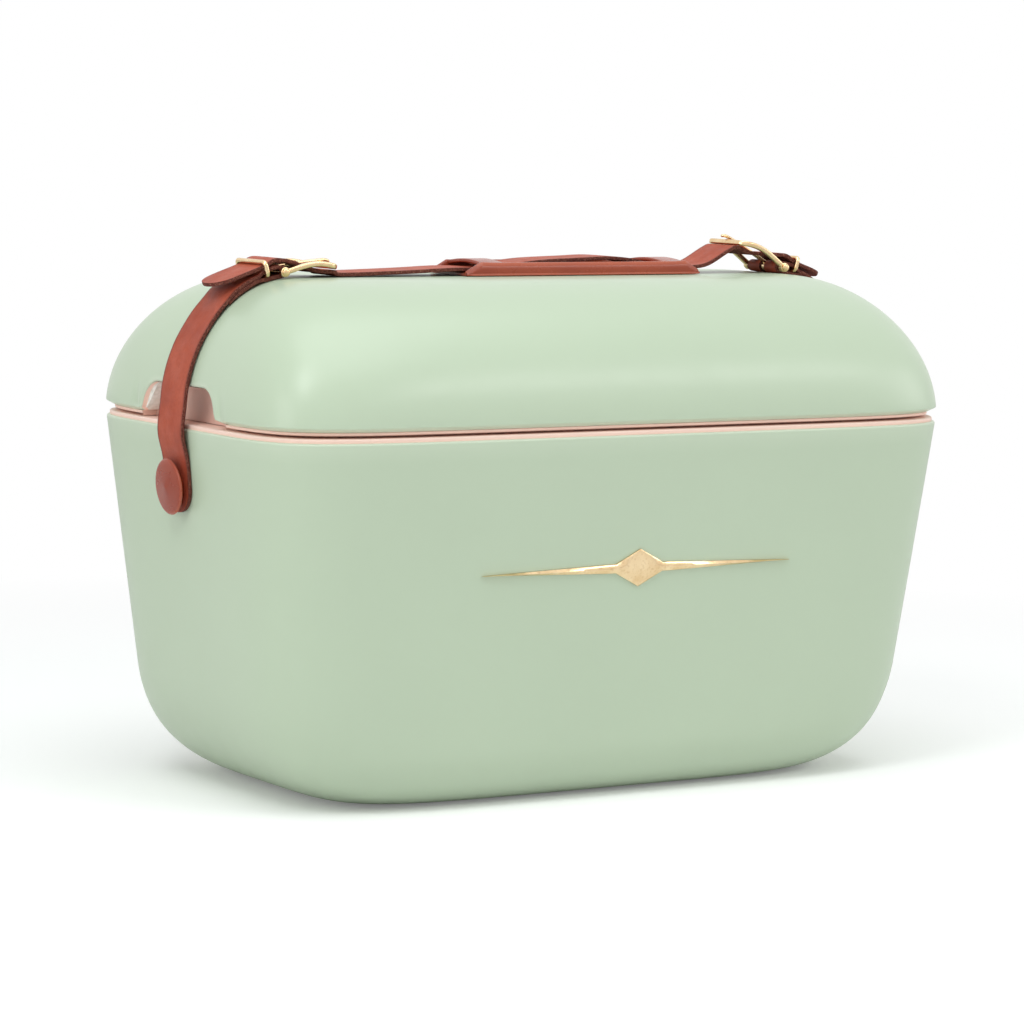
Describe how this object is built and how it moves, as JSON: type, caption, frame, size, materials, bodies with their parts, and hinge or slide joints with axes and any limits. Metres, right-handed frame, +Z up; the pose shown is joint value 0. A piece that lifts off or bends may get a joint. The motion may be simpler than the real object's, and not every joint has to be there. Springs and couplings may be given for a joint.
{
  "type": "cool box",
  "caption": "Retro-style insulated picnic cool box: deep moulded tub, lift-off domed lid with finger pockets, and a buckled leather carrying strap with a moulded grip.",
  "frame": {"origin": "on the floor under the middle of the box", "axes": "+X along the length to the right-hand end, +Y to the back, +Z up; the badge is on the -Y face"},
  "size_m": [0.395, 0.222, 0.2625],
  "materials": {
    "green_shell": "smooth satin moulded plastic, sage green",
    "pink_liner": "satin moulded plastic, pale pink",
    "foam": "rigid insulating foam, hidden",
    "brown_plastic": "semi-gloss moulded plastic, reddish brown",
    "leather": "smooth leather with raw cut edges",
    "gold": "polished pale gold plating",
    "steel": "plain zinc-plated steel, hidden"
  },
  "bodies": {
    "tub": {"tub_shell": "green_shell", "tub_foam": "foam", "tub_liner": "pink_liner", "strap_studs": "brown_plastic", "stud_nuts": "steel", "front_badge": "gold"},
    "lid": {"lid_shell": "green_shell", "lid_foam": "foam", "lid_liner": "pink_liner"},
    "strap_left": {"side_strap_left": "leather", "strap_rivet_left": "gold", "buckle_pin_left": "gold", "strap_keeper_left": "gold"},
    "frame_left": {"buckle_frame_left": "gold"},
    "prong_left": {"buckle_prong_left": "gold"},
    "strap_right": {"side_strap_right": "leather", "strap_rivet_right": "gold", "buckle_pin_right": "gold", "strap_keeper_right": "gold"},
    "frame_right": {"buckle_frame_right": "gold"},
    "prong_right": {"buckle_prong_right": "gold"},
    "centre_strap": {"centre_strap": "leather"},
    "grip": {"handle_grip": "brown_plastic"}
  },
  "joints": [
    {"name": "lid_lift", "type": "slide", "parent": "tub", "child": "lid", "axis": [0, 0, 1], "range_m": [0, 0.13]},
    {"name": "strap_left_open", "type": "hinge", "parent": "tub", "child": "strap_left", "pos_m": [-0.1901, 0, 0.163], "axis": [0, -1, 0], "range_deg": [0, 140], "deforming": ["side_strap_left"]},
    {"name": "strap_right_open", "type": "hinge", "parent": "tub", "child": "strap_right", "pos_m": [0.1901, 0, 0.163], "axis": [0, 1, 0], "range_deg": [0, 140], "deforming": ["side_strap_right"]},
    {"name": "centre_strap_lift", "type": "slide", "parent": "tub", "child": "centre_strap", "axis": [0, 0, 1], "range_m": [0, 0.17], "deforming": ["centre_strap"]},
    {"name": "grip_slide", "type": "slide", "parent": "centre_strap", "child": "grip", "axis": [1, 0, 0], "range_m": [-0.04, 0.01]},
    {"name": "buckle_left_swing", "type": "hinge", "parent": "strap_left", "child": "frame_left", "pos_m": [-0.142, 0, 0.24646], "axis": [0, -1, 0], "range_deg": [0, 75]},
    {"name": "prong_left_lift", "type": "hinge", "parent": "frame_left", "child": "prong_left", "pos_m": [-0.142, 0, 0.24646], "axis": [0, -1, 0], "range_deg": [0, 50]},
    {"name": "buckle_right_swing", "type": "hinge", "parent": "strap_right", "child": "frame_right", "pos_m": [0.142, 0, 0.24646], "axis": [0, 1, 0], "range_deg": [0, 52]},
    {"name": "prong_right_lift", "type": "hinge", "parent": "frame_right", "child": "prong_right", "pos_m": [0.142, 0, 0.24646], "axis": [0, 1, 0], "range_deg": [0, 50]}
  ],
  "couplings": [
    {"joint": "strap_left_open", "follows": "lid_lift", "rad_per_m": 18.79},
    {"joint": "strap_right_open", "follows": "lid_lift", "rad_per_m": 18.79},
    {"joint": "centre_strap_lift", "follows": "lid_lift", "ratio": 1.3}
  ]
}
